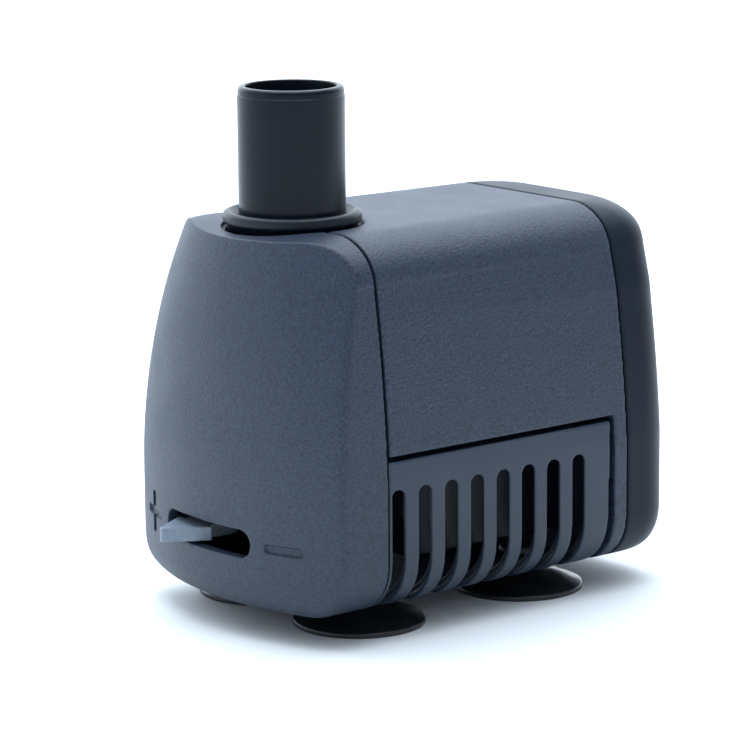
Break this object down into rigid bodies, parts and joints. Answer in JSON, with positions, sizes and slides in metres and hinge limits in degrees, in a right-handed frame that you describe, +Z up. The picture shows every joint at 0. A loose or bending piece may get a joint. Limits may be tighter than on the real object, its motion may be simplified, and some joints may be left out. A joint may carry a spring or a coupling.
{
  "type": "submersible aquarium water pump",
  "caption": "Small submersible pump: vertical outlet tube, sliding flow regulator, slotted strainer underneath and suction cup feet.",
  "frame": {"origin": "on the floor, under the middle of the whole pump's box", "axes": "+Z up along the outlet tube, -Y is the front with the flow regulator, +Y the rear cap, +X to the right seen from the front; the rotor turns about a line along Y"},
  "size_m": [0.05, 0.0772, 0.0799],
  "materials": {
    "shell_grain": "fine spark-eroded grain, dark blue-grey",
    "shell_smooth": "smooth satin moulding, dark blue-grey",
    "cap_smooth": "smooth satin moulding, darker blue-grey",
    "outlet_black": "smooth satin moulding, blue-black",
    "inner_black": "smooth satin moulding, black",
    "regulator_grey": "smooth satin moulding, mid grey",
    "cup_rubber": "soft glossy rubber",
    "seal_rubber": "moulded rubber",
    "impeller_white": "moulded",
    "ferrite": "sintered ferrite magnet, dark grey",
    "ceramic_white": "polished ceramic",
    "core_steel": "stacked laminations",
    "bobbin_white": "moulded nylon",
    "copper_wire": "enamelled copper wire",
    "resin_black": "poured epoxy"
  },
  "bodies": {
    "pump_body": {"motor_housing": "shell_grain", "rear_cap": "cap_smooth", "intake_grille": "shell_smooth", "pump_chamber": "inner_black", "outlet_nozzle": "outlet_black", "nozzle_o_ring": "seal_rubber", "chamber_seal": "seal_rubber", "rotor_shaft": "ceramic_white", "front_thrust_washer": "ceramic_white", "rear_thrust_washer": "ceramic_white", "front_bush": "seal_rubber", "rear_bush": "seal_rubber", "stator_core": "core_steel", "coil_bobbin_left": "bobbin_white", "coil_bobbin_right": "bobbin_white", "coil_winding_left": "copper_wire", "coil_winding_right": "copper_wire", "coil_link_wire": "copper_wire", "potting_resin": "resin_black", "cable_gland": "seal_rubber", "suction_cup_front_left": "cup_rubber", "suction_cup_front_right": "cup_rubber", "suction_cup_rear_left": "cup_rubber", "suction_cup_rear_right": "cup_rubber"},
    "front_cover": {"front_cover": "shell_grain"},
    "regulator": {"flow_regulator": "regulator_grey"},
    "rotor": {"impeller": "impeller_white", "rotor_core": "impeller_white", "rotor_magnet": "ferrite"}
  },
  "joints": [
    {"name": "regulator_slide", "type": "slide", "parent": "pump_body", "child": "regulator", "axis": [1, 0, 0], "range_m": [0, 0.0104]},
    {"name": "rotor_spin", "type": "hinge", "parent": "pump_body", "child": "rotor", "pos_m": [0, 0, 0.03], "axis": [0, 1, 0], "continuous": true},
    {"name": "front_cover_pull", "type": "slide", "parent": "pump_body", "child": "front_cover", "axis": [0, -1, 0], "range_m": [0, 0.025]}
  ]
}
